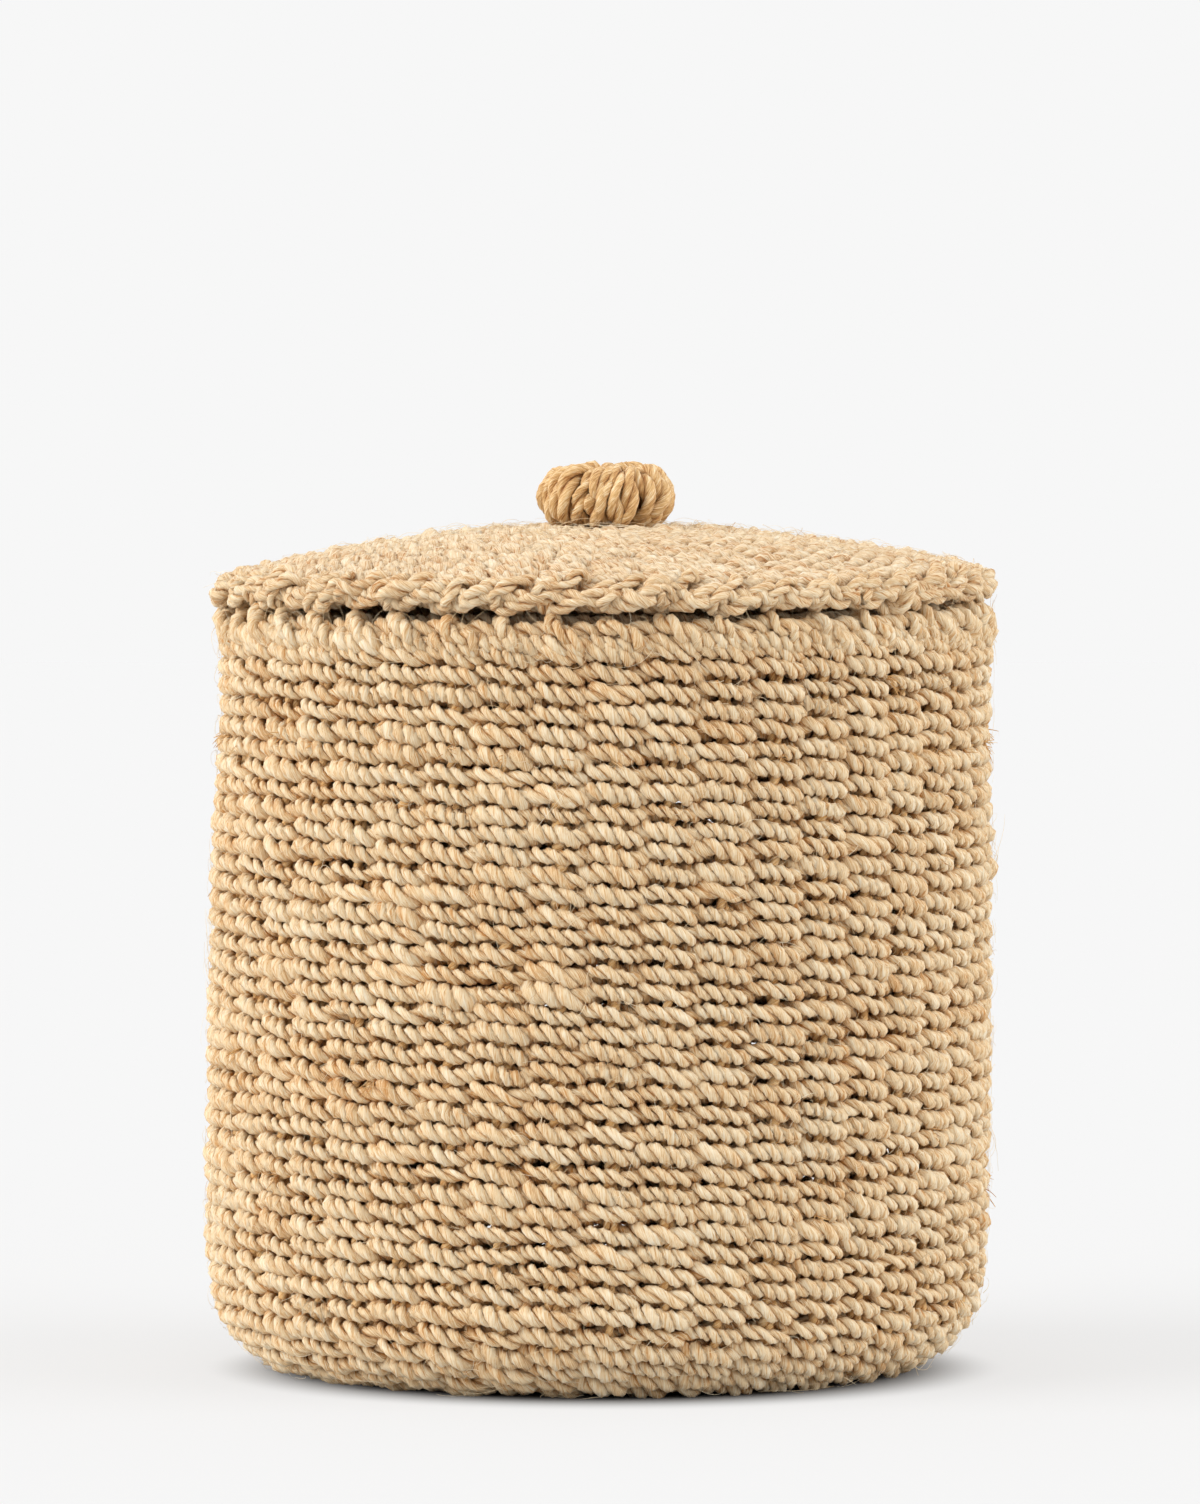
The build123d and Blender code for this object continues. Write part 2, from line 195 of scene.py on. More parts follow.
class Tubes:
    """Rings of points along plies, kept until they are cut into pieces."""

    def __init__(self):
        self.rings = []
        self.fibre = []
        self.tint = []
        self.mark = []

    def ply(
        self, path, outward, radius, tint, rng, twist=28 * MM, marks=None, sides=SIDES,
        weave=None, groove_shade=0.0,
    ):
        """One round ply along a path. Its fibres turn once in each twist.

        weave holds the depth of the path in the weave and the way out of it. The fibres
        get painted shade: they are darker where they lie deep in the weave, near the stakes,
        and on the side that faces the other ply, between two plies.
        """
        tangent = unit(np.gradient(path, axis=0))
        across = unit(outward - np.sum(outward * tangent, axis=1, keepdims=True) * tangent)
        side = np.cross(tangent, across)
        lengths = np.linalg.norm(np.diff(path, axis=0), axis=1)
        distance = np.concatenate([[0], np.cumsum(lengths)])
        angles = np.arange(sides) * tau / sides
        rough = 1 + 0.05 * rng.standard_normal((len(path), sides))
        reach = radius[:, None] * rough
        rings = (
            path[:, None]
            + reach[..., None] * np.cos(angles)[None, :, None] * across[:, None]
            + reach[..., None] * np.sin(angles)[None, :, None] * side[:, None]
        )
        around = angles[None] - distance[:, None] * tau / twist
        start = rng.uniform(0, 50)
        along = np.broadcast_to(distance[:, None] / MM + start * 10, around.shape)
        ratio = radius[:, None] / MM
        self.fibre.append(np.stack([ratio * np.cos(around), ratio * np.sin(around), along], -1))
        self.rings.append(rings)
        tint = np.broadcast_to(tint[:, None], around.shape)
        if weave is not None:
            depth, out = weave
            tilt = np.cos(angles)[None] * np.sum(across * out, axis=1)[:, None]
            tilt = tilt + np.sin(angles)[None] * np.sum(side * out, axis=1)[:, None]
            # painted shade: the nearer this point of the ply lies to the middle of the weave, the
            # darker its tint
            tint = tint - 2.3 * (1 - ease(np.abs(depth[:, None] + reach * tilt), 0, 3.8 * MM))
        # painted shade on the side of the ply that faces the other ply, where the two plies meet
        self.tint.append(tint - groove_shade * ease(-np.cos(angles), 0.1, 0.8)[None])
        self.mark.append(np.zeros(len(path)) if marks is None else marks)

    def two_ply(
        self, path, outward, rng, ply=PLY, lay=LAY, marks=None, depth=None, sides=SIDES
    ):
        """Two plies turned round each other, right-handed, as the cord is laid."""
        lengths = np.linalg.norm(np.diff(path, axis=0), axis=1)
        distance = np.concatenate([[0], np.cumsum(lengths)])
        slack = ease(drift(rng, distance, 26 * MM), 1.25, 1.9)
        turns = tau / (lay * np.exp(0.2 * drift(rng, distance, 45 * MM)) * (1 + 0.9 * slack))
        phase = rng.uniform(0, tau) + np.concatenate([[0], np.cumsum(turns[1:] * lengths)])
        tangent = unit(np.gradient(path, axis=0))
        across = unit(outward - np.sum(outward * tangent, axis=1, keepdims=True) * tangent)
        side = np.cross(tangent, across)
        girth = np.exp(0.11 * drift(rng, distance, 60 * MM)) * (1 + 0.12 * slack)
        tone = 0.25 * drift(rng, distance, 160 * MM)
        for half in (0, pi):
            radius = ply * girth * np.exp(0.13 * drift(rng, distance, 20 * MM))
            apart = 0.82 * ply * girth
            swing = np.cos(phase + half)[:, None] * across
            swing = swing + np.sin(phase + half)[:, None] * side
            centre = path + apart[:, None] * swing
            tint = tone + 0.35 * drift(rng, distance, 24 * MM)
            # each ply's depth in the weave is passed on for painted shade in the weave's hollows
            weave = None
            if depth is not None:
                out = unit(outward)
                weave = (depth + apart * np.sum(swing * out, axis=1), out)
            # the setting of 1.8 below paints shade on the inner side of each ply, between the two
            # plies
            self.ply(
                centre, unit(swing), radius, tint, rng, marks=marks, sides=sides, weave=weave,
                groove_shade=1.8,
            )


def collect(tubes, keep=None):
    """The tubes, cut to the stretches whose mark lies in the kept range."""
    chosen = []
    for rings, fibre, tint, mark in zip(tubes.rings, tubes.fibre, tubes.tint, tubes.mark):
        if keep is None:
            chosen.append((rings, fibre, tint))
            continue
        first = np.searchsorted(mark, keep[0])
        last = np.searchsorted(mark, keep[1])
        if last - first > 1:
            part = slice(first, min(last + 1, len(mark)))
            chosen.append((rings[part], fibre[part], tint[part]))
    return chosen


def piece(name, tubes, body, material, nodes=(), keep=None):
    """A mesh of closed tubes that rides on a body and stands for its CAD nodes."""
    chosen = collect(tubes, keep)
    sides = chosen[0][0].shape[1]
    points = np.concatenate([rings.reshape(-1, 3) for rings, _, _ in chosen])
    fibre = np.concatenate([f.reshape(-1, 3) for _, f, _ in chosen])
    tint = np.concatenate([t.reshape(-1) for _, _, t in chosen])
    starts, first = [], 0
    caps = []
    for rings, _, _ in chosen:
        count = len(rings)
        starts.append(first + sides * np.arange(count - 1))
        caps.append(first + np.arange(sides)[::-1])
        caps.append(first + sides * (count - 1) + np.arange(sides))
        first += sides * count
    starts = np.concatenate(starts)
    here = np.arange(sides)
    after = (here + 1) % sides
    quads = np.stack(
        [
            starts[:, None] + here,
            starts[:, None] + after,
            starts[:, None] + sides + after,
            starts[:, None] + sides + here,
        ],
        axis=-1,
    )
    mesh = bpy.data.meshes.new(name)
    corners = np.concatenate([quads.reshape(-1), np.concatenate(caps)])
    quad_total = quads.shape[0] * sides
    loop_starts = np.concatenate(
        [4 * np.arange(quad_total), 4 * quad_total + sides * np.arange(len(caps))]
    )
    mesh.vertices.add(len(points))
    mesh.vertices.foreach_set("co", points.astype(np.float32).ravel())
    mesh.loops.add(len(corners))
    mesh.loops.foreach_set("vertex_index", corners.astype(np.int32))
    mesh.polygons.add(len(loop_starts))
    mesh.polygons.foreach_set("loop_start", loop_starts.astype(np.int32))
    mesh.update(calc_edges=True)
    mesh.polygons.foreach_set("use_smooth", np.ones(len(loop_starts), bool))
    attribute = mesh.attributes.new("fibre", "FLOAT_VECTOR", "POINT")
    attribute.data.foreach_set("vector", fibre.astype(np.float32).ravel())
    attribute = mesh.attributes.new("tint", "FLOAT", "POINT")
    attribute.data.foreach_set("value", tint.astype(np.float32))
    layer = mesh.uv_layers.new(name="OFBake")
    layer.data.foreach_set("uv", strip_layout(quads.shape[0], sides, len(caps)))
    mesh.validate()
    mesh.materials.append(material)
    obj = bpy.data.objects.new(name, mesh)
    bpy.context.scene.collection.objects.link(obj)
    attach(obj, body)
    if nodes:
        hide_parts(*nodes)
    return obj


def strip_layout(columns, sides, caps):
    """Texture places for the tubes, unrolled into strips that fill a square."""
    strips = max(1, round(sqrt(columns / (sides + 1))))
    wide = ceil(columns / strips)
    row, column = np.divmod(np.arange(columns), wide)
    u = column / wide
    v = (row[:, None] * (sides + 1) + np.arange(sides) + 0.5) / (strips * (sides + 1) + 1)
    du = 1 / wide
    dv = 1 / (strips * (sides + 1) + 1)
    u = np.broadcast_to(u[:, None], v.shape)
    quads = np.stack(
        [u, v, u, v + dv, u + du, v + dv, u + du, v],
        axis=-1,
    )
    turn = np.arange(sides) * tau / sides
    cap = np.stack([0.5 * du * (1 + np.cos(turn)), 1 - 0.5 * dv * (1 + np.sin(turn))], -1)
    return np.concatenate([quads.ravel(), np.tile(cap.ravel(), caps)]).astype(np.float32)


# ---------------------------------------------------------------- fibre materials
def fibre_material(name, dark, middle, light, gloss=0.25):
    """Dry plant fibre: streaks along each ply, and tones that change from cord to cord."""
    material = bpy.data.materials.new(name)
    material.use_nodes = True
    nodes = material.node_tree.nodes
    links = material.node_tree.links
    shader = nodes["Principled BSDF"]

    fibre = nodes.new("ShaderNodeAttribute")
    fibre.attribute_name = "fibre"
    stretch = nodes.new("ShaderNodeVectorMath")
    stretch.operation = "MULTIPLY"
    stretch.inputs[1].default_value = (1, 1, 0.13)
    links.new(fibre.outputs["Vector"], stretch.inputs[0])

    fine = nodes.new("ShaderNodeTexNoise")
    fine.inputs["Scale"].default_value = 2.6
    fine.inputs["Detail"].default_value = 4
    fine.inputs["Roughness"].default_value = 0.65
    links.new(stretch.outputs[0], fine.inputs["Vector"])

    coarse = nodes.new("ShaderNodeTexNoise")
    coarse.inputs["Scale"].default_value = 0.8
    coarse.inputs["Detail"].default_value = 2
    links.new(stretch.outputs[0], coarse.inputs["Vector"])

    place = nodes.new("ShaderNodeTexCoord")
    patch = nodes.new("ShaderNodeTexNoise")
    patch.inputs["Scale"].default_value = 22
    patch.inputs["Detail"].default_value = 3
    links.new(place.outputs["Object"], patch.inputs["Vector"])

    # the tint attribute holds each cord's own changes of tone and also painted shade deep in the
    # weave and between the plies; the ramp's dark end colours both
    tint = nodes.new("ShaderNodeAttribute")
    tint.attribute_name = "tint"

    # The noises lie about 0.5, so half of their weights is taken off to bring the sum there too
    noises = ((fine.outputs["Fac"], 2.3), (coarse.outputs["Fac"], 1.1), (patch.outputs["Fac"], 0.3))
    base = 0.5 - 0.5 * sum(weight for _, weight in noises)
    value = None
    for source, weight in (*noises, (tint.outputs["Fac"], 0.15)):
        part = nodes.new("ShaderNodeMath")
        part.operation = "MULTIPLY_ADD"
        part.inputs[1].default_value = weight
        links.new(source, part.inputs[0])
        if value is None:
            part.inputs[2].default_value = base
        else:
            links.new(value, part.inputs[2])
        value = part.outputs[0]

    ramp = nodes.new("ShaderNodeValToRGB")
    ramp.color_ramp.elements[0].position = 0.0
    ramp.color_ramp.elements[0].color = (*dark, 1)
    ramp.color_ramp.elements[1].position = 0.95
    ramp.color_ramp.elements[1].color = (*light, 1)
    mid = ramp.color_ramp.elements.new(0.48)
    mid.color = (*middle, 1)
    links.new(value, ramp.inputs["Fac"])
    links.new(ramp.outputs["Color"], shader.inputs["Base Color"])

    bump = nodes.new("ShaderNodeBump")
    bump.inputs["Strength"].default_value = 0.8
    bump.inputs["Distance"].default_value = 0.5 * MM
    links.new(fine.outputs["Fac"], bump.inputs["Height"])
    links.new(bump.outputs["Normal"], shader.inputs["Normal"])

    rough = nodes.new("ShaderNodeMapRange")
    rough.inputs["To Min"].default_value = 0.78
    rough.inputs["To Max"].default_value = 0.52
    links.new(fine.outputs["Fac"], rough.inputs["Value"])
    links.new(rough.outputs["Result"], shader.inputs["Roughness"])
    shader.inputs["Specular IOR Level"].default_value = gloss
    shader.inputs["Sheen Weight"].default_value = 0.08
    shader.inputs["Sheen Roughness"].default_value = 0.5
    return material


wall_fibre = fibre_material(
    "wall_fibre", (0.52, 0.235, 0.06), (0.78, 0.58, 0.335), (0.87, 0.77, 0.59)
)
stake_fibre = fibre_material(
    "stake_fibre", (0.42, 0.16, 0.03), (0.76, 0.46, 0.18), (0.88, 0.66, 0.38)
)
lid_fibre = fibre_material(
    "lid_fibre", (0.44, 0.18, 0.045), (0.75, 0.57, 0.35), (0.86, 0.76, 0.59)
)
edge_fibre = fibre_material(
    "edge_fibre", (0.44, 0.18, 0.04), (0.73, 0.53, 0.30), (0.85, 0.74, 0.55)
)
knob_fibre = fibre_material(
    "knob_fibre", (0.34, 0.13, 0.025), (0.70, 0.44, 0.18), (0.93, 0.78, 0.53), gloss=0.4
)
stray_fibre = fibre_material(
    "stray_fibre", (0.62, 0.38, 0.16), (0.85, 0.66, 0.40), (0.96, 0.84, 0.62), gloss=0.3
)


# ---------------------------------------------------------------- courses of twined weft
def twined_path(place, first, last, strand, depth, zones, rng):
    """One of two wefts twined round the stakes, spiralling out from first to last.

    zones are (distance, count): from each distance out, the weft passes that many stakes in
    a turn. A change comes at a whole turn, so that the crossings stay in line. The last two
    turns close up into the room of one, so that the edge of the weave runs level.
    """
    turns = (last - first) / COURSE + 1
    angle = np.arange(0, turns * tau, 0.012)
    left = turns - angle / tau
    along = last - COURSE * np.where(left < 2, left ** 2 / 4, left - 1)
    counts = np.zeros(len(angle))
    for start, count in zones:
        whole = max(0, round((start - first) / COURSE))
        counts[angle >= whole * tau] = count
    phase = np.concatenate([[0], np.cumsum(counts[1:] / 2 * np.diff(angle))])
    phase = phase + strand * pi
    swing = depth(along) if callable(depth) else depth
    distance = along_length(angle, along)
    jitter = 0.42 * MM * drift(rng, distance, 13 * MM)
    deeper = swing * np.tanh(1.9 * np.cos(phase)) + 0.32 * MM * drift(rng, distance, 15 * MM)
    higher = along - SLANT * np.sin(phase) + jitter
    path = place(angle + FIRST_STAKE, higher, deeper)
    outward = out_of(place, angle + FIRST_STAKE, higher, deeper)
    _, path, along, deeper, *outward = even_steps(path, STEP, along, deeper, *outward.T)
    return path, np.stack(outward, -1), along, deeper


def along_length(angle, along):
    """Distance travelled by a spiral on a disc of the same size."""
    radius = np.minimum(along, stake_radius)
    return np.concatenate([[0], np.cumsum(radius[1:] * np.diff(angle))])


def basket_depth(along):
    """Courses lie closer to the stakes under the base, where the basket's weight presses them."""
    return (2.3 + 1.1 * ease(along, flat_radius - 5 * MM, flat_radius + 30 * MM)) * MM


weave_zones = ((0, STAKES // 4), (start_radius, STAKES // 2), (added_radius, STAKES))
first_course = 6.1 * MM              # this start puts the weft's end at the back
last_course = rim_distance - 0.8 * MM
wall_start = flat_radius + bend_length
band = (rim_distance - wall_start) / 4

for strand, letter in enumerate("ab"):
    rng = np.random.default_rng(100 + strand)
    weft = Tubes()
    path, outward, marks, depth = twined_path(
        basket_point, first_course, last_course, strand, basket_depth, weave_zones, rng
    )
    weft.two_ply(path, outward, rng, marks=marks, depth=depth)
    piece(
        f"base_weft_{letter}", weft, "basket", wall_fibre,
        ("base_start", "base_weft_inner", "base_weft_middle", "base_weft_outer"),
        (0, flat_radius),
    )
    piece(
        f"corner_weft_{letter}", weft, "basket", wall_fibre,
        ("corner_weft",), (flat_radius, wall_start),
    )
    for number in range(4):
        low = wall_start + number * band
        piece(
            f"wall_weft_{number + 1}_{letter}", weft, "basket", wall_fibre,
            (f"wall_weft_{number + 1}",), (low, low + band),
        )

lid_outer_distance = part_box("lid_weft_middle")[1].x
lid_first_course = 9 * MM
lid_last_course = lid_edge_distance - 5.5 * MM
for strand, letter in enumerate("ab"):
    rng = np.random.default_rng(200 + strand)
    weft = Tubes()
    path, outward, marks, depth = twined_path(
        lid_point, lid_first_course, lid_last_course, strand, 2.6 * MM, weave_zones, rng
    )
    weft.two_ply(path, outward, rng, ply=1.8 * MM, lay=10.5 * MM, marks=marks, depth=depth)
    piece(
        f"lid_weft_inner_{letter}", weft, "lid", lid_fibre,
        ("lid_start", "lid_weft_inner", "lid_weft_middle"), (0, lid_outer_distance),
    )
    piece(
        f"lid_weft_outer_{letter}", weft, "lid", lid_fibre, ("lid_weft_outer",),
        (lid_outer_distance, lid_edge_distance),
    )


# ---------------------------------------------------------------- stakes and spokes
def radial_cords(place, last, rng, added, ply=1.5 * MM):
    """Every second stake or spoke: the main ones from the middle, or those added further out."""
    cords = Tubes()
    for number in range(added, STAKES, 2):
        start = added_radius if added else start_radius * 0.75
        along = np.arange(start, last, STEP)
        angle = FIRST_STAKE + number * stake_step
        sway = 0.25 * MM * drift(rng, along, 16 * MM) / np.maximum(along, 30 * MM)
        path = place(angle + sway, along, 0)
        outward = out_of(place, angle + sway, along, 0)
        cords.two_ply(path, outward, rng, ply=ply, lay=16 * MM, sides=6)
    if added:
        return cords
    for number in range(4):
        along = np.arange(-start_radius, start_radius, STEP)
        level = (1.2 * number - 1.8) * MM * np.cos(along / start_radius * pi / 2)
        angle = FIRST_STAKE + number * pi / 4
        path = place(angle, along, level)
        outward = out_of(place, angle, along, level)
        cords.two_ply(path, outward, rng, ply=ply, lay=16 * MM, sides=6)
    return cords


rng = np.random.default_rng(300)
for added, kind in enumerate(("main", "added")):
    piece(
        f"{kind}_stakes_laid", radial_cords(basket_point, rim_distance, rng, added), "basket",
        stake_fibre, (f"{kind}_stakes",),
    )
    piece(
        f"lid_{kind}_spokes_laid", radial_cords(lid_point, lid_weave_distance, rng, added),
        "lid", stake_fibre, (f"lid_{kind}_spokes",),
    )


# ---------------------------------------------------------------- rim and lid edge
def level_cord(place, along, depth, lift, rng, ply, lay):
    """A cord that runs once round the edge, and lifts between its lashings."""
    cord = Tubes()
    angle = np.linspace(0, tau, 1600)
    along = along - lift * np.cos(STAKES * (angle - FIRST_STAKE))
    path = place(angle, along, depth)
    outward = out_of(place, angle, along, depth)
    _, path, *out = even_steps(path, STEP, *outward.T)
    cord.two_ply(path, np.stack(out, -1), rng, ply=ply, lay=lay)
    return cord


def lashing(place, route, rng, ply, lay, wander):
    """One wrap over the edge at each stake, which wanders a little from its route.

    A route is a list of shares of a stake's step to the side, distances along the stakes and
    depths.
    """
    cords = Tubes()
    for number in range(STAKES):
        centre = FIRST_STAKE + number * stake_step
        points = np.array(route, float)
        points += wander * rng.standard_normal(points.shape) * (0.07 / MM, 1, 1)
        curve = smooth_through(points, 60)
        angle = centre + curve[:, 0] * stake_step
        path = place(angle, curve[:, 1], curve[:, 2])
        outward = out_of(place, angle, curve[:, 1], curve[:, 2])
        _, path, *out = even_steps(path, STEP, *outward.T)
        middle = path.mean(axis=0)
        away = unit(path - middle)
        cords.two_ply(path, unit(np.stack(out, -1) + away), rng, ply=ply, lay=lay)
    return cords


rng = np.random.default_rng(400)
top = rim_distance
rim = level_cord(basket_point, top + 3.2 * MM, 0.6 * MM, 0.5 * MM, rng, 1.7 * MM, 13 * MM)
piece("rim_cord_laid", rim, "basket", wall_fibre, ("rim_cord",))
rim_route = [
    (-0.06, top - 5 * MM, -3.4 * MM),
    (-0.12, top + 1.0 * MM, -4.6 * MM),
    (-0.18, top + 4.8 * MM, -2.8 * MM),
    (-0.18, top + 6.0 * MM, 0.6 * MM),
    (-0.08, top + 4.6 * MM, 3.8 * MM),
    (0.08, top + 2.4 * MM, 4.8 * MM),
    (0.26, top + 0.2 * MM, 4.5 * MM),
    (0.45, top - 1.6 * MM, 3.2 * MM),
    (0.60, top - 2.6 * MM, 0.4 * MM),
]
piece(
    "rim_wraps", lashing(basket_point, rim_route, rng, 1.75 * MM, 12 * MM, 0.7 * MM), "basket",
    wall_fibre, ("rim_lashing",),
)

rng = np.random.default_rng(500)
edge = lid_edge_distance
lid_edge = level_cord(lid_point, edge + 1.2 * MM, -0.2 * MM, 0.6 * MM, rng, 1.6 * MM, 12 * MM)
piece("lid_edge_laid", lid_edge, "lid", edge_fibre, ("lid_edge_cord",))
under_route = [
    (-0.75, edge - 7 * MM, -3.2 * MM),
    (-0.35, edge - 3 * MM, -3.9 * MM),
    (0.0, edge + 1.4 * MM, -2.6 * MM),
    (0.35, edge + 3.4 * MM, -0.4 * MM),
    (0.68, edge + 1.2 * MM, 2.4 * MM),
    (0.95, edge - 3.0 * MM, 2.4 * MM),
]
over_route = [
    (0.42, edge - 8 * MM, 1.6 * MM),
    (0.28, edge - 4 * MM, 3.6 * MM),
    (0.05, edge + 0.4 * MM, 3.4 * MM),
    (-0.18, edge + 3.6 * MM, 0.9 * MM),
    (-0.26, edge + 2.2 * MM, -2.0 * MM),
    (-0.16, edge - 2 * MM, -3.8 * MM),
    (0.05, edge - 7 * MM, -4.0 * MM),
]
piece(
    "lid_edge_under", lashing(lid_point, under_route, rng, 1.65 * MM, 13 * MM, MM), "lid",
    edge_fibre, ("lid_edge_lashing",),
)
piece(
    "lid_edge_over", lashing(lid_point, over_route, rng, 1.5 * MM, 14 * MM, 1.1 * MM), "lid",
    edge_fibre, ("lid_edge_lashing",),
)


# ---------------------------------------------------------------- collar under the lid
COLLAR_COURSE = 5.8 * MM
collar_radius = collar_box[1].x - 3.4 * MM
collar_height = collar_box[1].z - collar_box[0].z


def collar_point(angle, along, depth):
    """A place in the collar: along is up from its lower edge, and depth out from its middle."""
    return on_surface(angle, collar_radius + depth, collar_box[0].z + along)


rng = np.random.default_rng(600)
collar = Tubes()
for strand in range(2):
    angle = np.arange(0, (collar_height - 5 * MM) / COLLAR_COURSE * tau, 0.012)
    along = 2.6 * MM + COLLAR_COURSE * angle / tau
    phase = STAKES / 2 * angle + strand * pi
    path = collar_point(angle, along - 1.2 * MM * np.sin(phase), 0.9 * MM * np.cos(phase))
    outward = out_of(collar_point, angle, along, 0)
    _, path, *out = even_steps(path, STEP, *outward.T)
    collar.two_ply(path, np.stack(out, -1), rng, ply=1.5 * MM, lay=9 * MM)
piece(
    "collar_weft", collar, "lid", lid_fibre, ("lid_collar", "collar_stitches")
)


# ---------------------------------------------------------------- knob
knob_radius = knob_box[1].x
knob_middle = (knob_box[0].z + knob_box[1].z) / 2
knob_half = (knob_box[1].z - knob_box[0].z) / 2
KNOB_HOLE = 4 * MM                   # radius of the hole in the middle
KNOB_WRAPS = 26
ring_radius = (knob_radius + KNOB_HOLE) / 2
ring_half = (knob_radius - KNOB_HOLE) / 2

rng = np.random.default_rng(700)
knob = Tubes()
sweep = np.arange(0, KNOB_WRAPS * tau, 0.05)
ring_angle = sweep / KNOB_WRAPS - pi / 2
inset = 2.5 * MM                     # from the surface of the knob to the middle of its cord
wobble = 0.4 * MM * drift(rng, sweep, 1.7)
pinch = 1 - 0.10 * np.exp(-((np.mod(ring_angle + pi / 2 + 0.1, tau) / 0.35) ** 2))
across_ring = ring_radius + (ring_half - inset + wobble) * pinch * np.cos(sweep)
height = knob_middle + (knob_half - inset + wobble) * np.sin(sweep)
sway = 0.10 * drift(rng, sweep, 2.2) * (across_ring / knob_radius)
path = on_surface(ring_angle + sway, across_ring, height)
centre = on_surface(ring_angle + sway, ring_radius, knob_middle)
outward = unit(path - centre)
_, path, *out = even_steps(path, STEP, *outward.T)
knob.two_ply(path, np.stack(out, -1), rng, ply=1.7 * MM, lay=24 * MM)
piece("knob_winding", knob, "lid", knob_fibre, ("knob_core", "knob_wrap"))

tie = Tubes()
tie_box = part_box("knob_tie")
knot_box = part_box("tie_knot")
for side in (-1, 1):
    points = [
        (side * 1.6 * MM, 0, knot_box[0].z + 2 * MM),
        (side * 1.6 * MM, 0, knob_middle),
        (side * 1.8 * MM, side * MM, tie_box[1].z - 5 * MM),
        (side * 5.0 * MM, side * 2 * MM, tie_box[1].z - 1.4 * MM),
        (side * 8.0 * MM, side * 2 * MM, tie_box[1].z - 4 * MM),
    ]
    line = smooth_through(points, 60)
    line[:, 0] += LEAN * line[:, 2]
    _, line = even_steps(line, STEP)
    upright = np.broadcast_to(np.array([0.0, side, 0.3]), line.shape)
    tie.two_ply(line, upright, rng, ply=1.2 * MM, lay=14 * MM)
for turn in range(3):
    angle = np.linspace(0, tau, 80)
    tall = knot_box[0].z + (2.4 + 2.2 * turn) * MM
    ring = on_surface(angle, 4.6 * MM, tall + 0.8 * MM * np.sin(angle + turn))
    _, ring = even_steps(ring, STEP)
    outward = unit(ring - ring.mean(axis=0))
    tie.two_ply(ring, outward, rng, ply=1.3 * MM, lay=12 * MM)
piece("knob_tie_cord", tie, "lid", knob_fibre, ("knob_tie", "tie_knot"))


# ---------------------------------------------------------------- stray fibres
def stray_fibres(place, count, near, far, depth, rng, long=7.5 * MM, thick=0.08 * MM):
    """Thin fibres that have come loose from the cords and curl over the surface."""
    loose = Tubes()
    out_sign = np.sign(depth)
    for _ in range(count):
        share = rng.random()
        along = near + share * (far - near)
        angle = rng.uniform(0, tau)
        length = long * np.exp(0.55 * rng.standard_normal())
        start = place(angle, along, depth + rng.uniform(-1.6, 0.3) * MM * out_sign)
        out = out_of(place, angle, along, depth) * out_sign
        round_way = unit(np.cross(np.array([0.0, 0.0, 1.0]) + 1e-3, out))
        up_way = np.cross(out, round_way)
        heading = rng.normal(0.4, 0.9) + (pi if rng.random() < 0.5 else 0)
        bend = rng.normal(0, 2.2)
        t = np.linspace(0, 1, 8)
        turn = heading + bend * t
        step = np.stack([np.cos(turn), np.sin(turn)], -1) * length / 7
        flat = np.concatenate([[[0, 0]], np.cumsum(step[1:], axis=0)])
        lift = rng.uniform(0.2, 1) ** 2 * min(0.3 * length, 2.8 * MM)
        rise = lift * np.sin(t * rng.uniform(1.6, 3.4))
        path = start + flat[:, :1] * round_way + flat[:, 1:] * up_way + rise[:, None] * out
        if path[:, 2].min() < 0:
            continue  # it would reach through the floor
        radius = thick * rng.uniform(0.7, 1.4) * (1 - 0.6 * t)
        tint = np.full(8, rng.normal(0.6, 1.3) - (4 if rng.random() < 0.12 else 0))
        outward = np.broadcast_to(out, path.shape)
        loose.ply(path, outward, radius, tint, rng, sides=3)
    return loose


rng = np.random.default_rng(800)
wall_nodes = [f"wall_weft_{number}" for number in (1, 2, 3, 4)]
piece(
    "wall_fuzz", stray_fibres(
        basket_point, 3400, flat_radius + 8 * MM, rim_distance, 5.9 * MM, rng
    ), "basket", stray_fibre, ("corner_weft", *wall_nodes),
)
piece(
    "inner_fuzz", stray_fibres(basket_point, 700, 20 * MM, rim_distance, -5.9 * MM, rng),
    "basket", stray_fibre, ("corner_weft", *wall_nodes),
)
piece(
    "lid_fuzz", stray_fibres(lid_point, 1800, 20 * MM, lid_edge_distance + 2 * MM, 5.2 * MM, rng),
    "lid", stray_fibre, ("lid_weft_inner", "lid_weft_middle", "lid_weft_outer"),
)
piece(
    "rim_fuzz", stray_fibres(
        basket_point, 420, rim_distance - 4 * MM, rim_distance + 5 * MM, 6.2 * MM, rng, 8 * MM
    ), "basket", stray_fibre, ("rim_cord", "rim_lashing"),
)


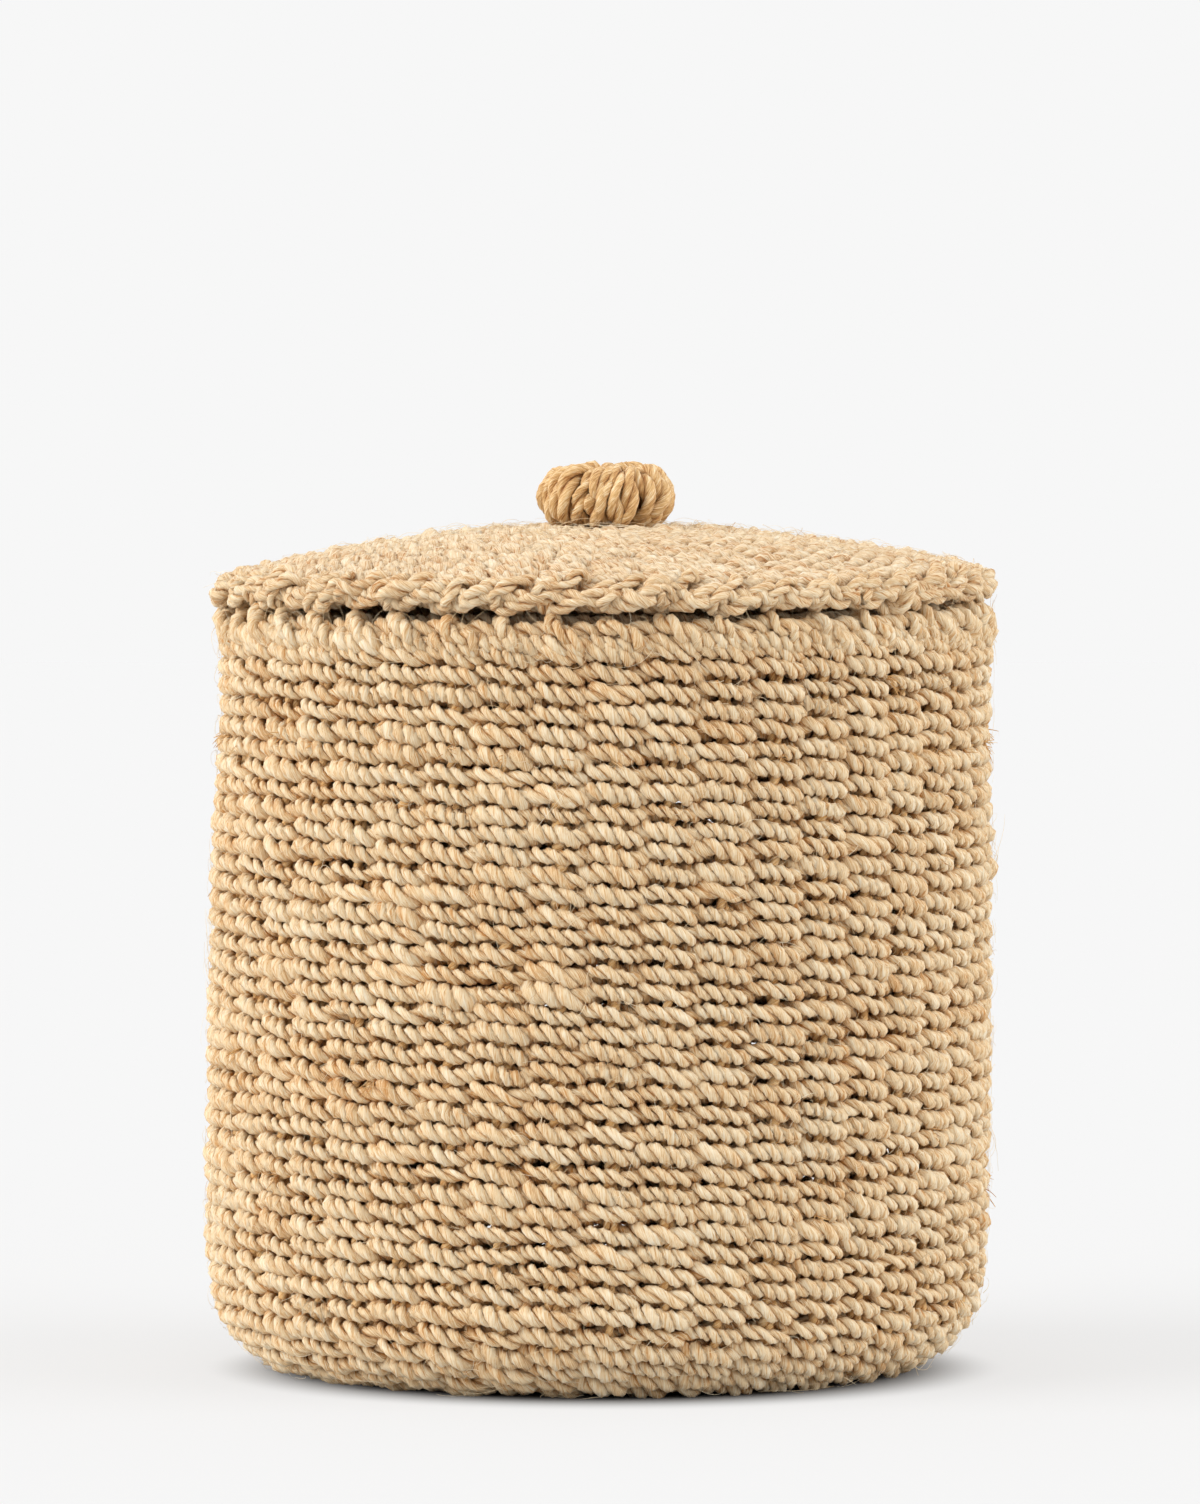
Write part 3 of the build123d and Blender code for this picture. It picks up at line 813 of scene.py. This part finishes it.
def tufts(place, places, depth, rng):
    """Frayed ends of stakes and splices, which stand out between the courses."""
    ends = Tubes()
    for angle, along in places:
        out = out_of(place, angle, along, depth)
        round_way = unit(np.cross(np.array([0.0, 0.0, 1.0]), out))
        up_way = np.cross(out, round_way)
        lean = rng.normal(0, 0.5)
        for _ in range(int(rng.integers(7, 15))):
            start = place(angle, along, depth) + rng.normal(0, 0.7) * MM * round_way
            start = start + rng.normal(0, 0.6) * MM * up_way
            length = rng.uniform(2.5, 6) * MM
            aim = out * rng.uniform(0.5, 1.0) + round_way * (lean + rng.normal(0, 0.35))
            aim = unit(aim - up_way * rng.uniform(-0.3, 0.9))
            t = np.linspace(0, 1, 6)
            droop = -up_way * rng.uniform(0, 0.5) + round_way * rng.normal(0, 0.3)
            path = start + length * (t[:, None] * aim + t[:, None] ** 2 * droop)
            radius = rng.uniform(0.12, 0.3) * MM * (1 - 0.6 * t)
            tint = np.full(6, rng.normal(-0.4, 1.0))
            ends.ply(path, np.broadcast_to(out, path.shape), radius, tint, rng, sides=4)
    return ends


rng = np.random.default_rng(900)
ends = [
    (FIRST_STAKE + number * stake_step + rng.normal(0, 0.01),
     rim_distance - (36 + rng.normal(0, 2.5)) * MM)
    for number in range(STAKES) if rng.random() < 0.8
]
splices = [
    (rng.uniform(0, tau), rng.uniform(flat_radius + 20 * MM, rim_distance - 10 * MM))
    for _ in range(24)
]
piece(
    "stake_ends", tufts(basket_point, ends + splices, 3.2 * MM, rng), "basket",
    stake_fibre, ("main_stakes", "added_stakes"),
)


# ---------------------------------------------------------------- floor, light and camera
def plain(name, colour, glow):
    """A matt white surface with a little light of its own."""
    material = bpy.data.materials.new(name)
    material.use_nodes = True
    shader = material.node_tree.nodes["Principled BSDF"]
    shader.inputs["Base Color"].default_value = (colour, colour, colour, 1)
    shader.inputs["Roughness"].default_value = 1.0
    shader.inputs["Specular IOR Level"].default_value = 0.0
    shader.inputs["Emission Color"].default_value = (1, 1, 1, 1)
    shader.inputs["Emission Strength"].default_value = glow
    return material


def shade_under(material, middle, near, far, glow):
    """Take away the glow under the basket, so that the shadow where it stands stays dark."""
    nodes = material.node_tree.nodes
    links = material.node_tree.links
    place = nodes.new("ShaderNodeTexCoord")
    level = nodes.new("ShaderNodeVectorMath")
    level.operation = "MULTIPLY_ADD"
    level.inputs[1].default_value = (1, 1, 0)
    level.inputs[2].default_value = (-middle[0], -middle[1], 0)
    links.new(place.outputs["Object"], level.inputs[0])
    reach = nodes.new("ShaderNodeVectorMath")
    reach.operation = "LENGTH"
    links.new(level.outputs["Vector"], reach.inputs[0])
    fade = nodes.new("ShaderNodeMapRange")
    fade.interpolation_type = "SMOOTHSTEP"
    fade.inputs["From Min"].default_value = near
    fade.inputs["From Max"].default_value = far
    fade.inputs["To Max"].default_value = glow
    links.new(reach.outputs["Value"], fade.inputs["Value"])
    links.new(fade.outputs["Result"], nodes["Principled BSDF"].inputs["Emission Strength"])


def backdrop(name, points, wide, material):
    """A sheet as wide as given each way, through points given as distance back and height."""
    places = [(side * wide, back, up) for back, up in points for side in (-1, 1)]
    faces = [(2 * i, 2 * i + 1, 2 * i + 3, 2 * i + 2) for i in range(len(points) - 1)]
    mesh = bpy.data.meshes.new(name)
    mesh.from_pydata(places, [], faces)
    mesh.materials.append(material)
    sheet = bpy.data.objects.new(name, mesh)
    bpy.context.scene.collection.objects.link(sheet)
    return sheet


BACKGROUND = 0.93
FLOOR_GLOW = 0.609                   # with its lit colour, this brings the floor to the background
floor_white = plain("floor_white", 0.22, FLOOR_GLOW)
backdrop("floor", [(-12, 0), (8, 0)], 12, floor_white)
shade_under(floor_white, (0.003, -0.006), 0.094, 0.134, FLOOR_GLOW)
wall = backdrop("backdrop", [(8, 0), (8, 8)], 12, plain("backdrop_white", 0.0, BACKGROUND))
wall.visible_diffuse = False
wall.visible_glossy = False
wall.visible_shadow = False

world = bpy.data.worlds.new("studio")
bpy.context.scene.world = world
world.use_nodes = True
sky = world.node_tree.nodes["Background"]
sky.inputs["Color"].default_value = (1, 1, 1, 1)
sky.inputs["Strength"].default_value = 0.95


def sun(name, strength, spread, direction, colour=(1, 1, 1)):
    """A distant soft light that shines from a direction."""
    light = bpy.data.lights.new(name, "SUN")
    light.energy = strength
    light.angle = radians(spread)
    light.color = colour
    lamp = bpy.data.objects.new(name, light)
    bpy.context.scene.collection.objects.link(lamp)
    lamp.rotation_euler = Vector(direction).to_track_quat("Z", "Y").to_euler()
    return lamp


sun("key", 2.3, 50, (-0.85, -0.28, 0.45))
sun("fill", 1.6, 50, (0.9, -0.2, 0.35))

camera_data = bpy.data.cameras.new("camera")
camera_data.lens = 223.2
camera_data.sensor_width = 36
camera = bpy.data.objects.new("camera", camera_data)
bpy.context.scene.collection.objects.link(camera)
CAMERA_DISTANCE = 3.1
CAMERA_HEIGHT = 0.3255
CAMERA_DIP = 2.233                   # degrees below level
camera.location = (1.4 * MM, -CAMERA_DISTANCE, CAMERA_HEIGHT)
camera.rotation_euler = (radians(90 - CAMERA_DIP), 0, 0)
bpy.context.scene.camera = camera
bpy.context.scene.view_settings.view_transform = "Standard"
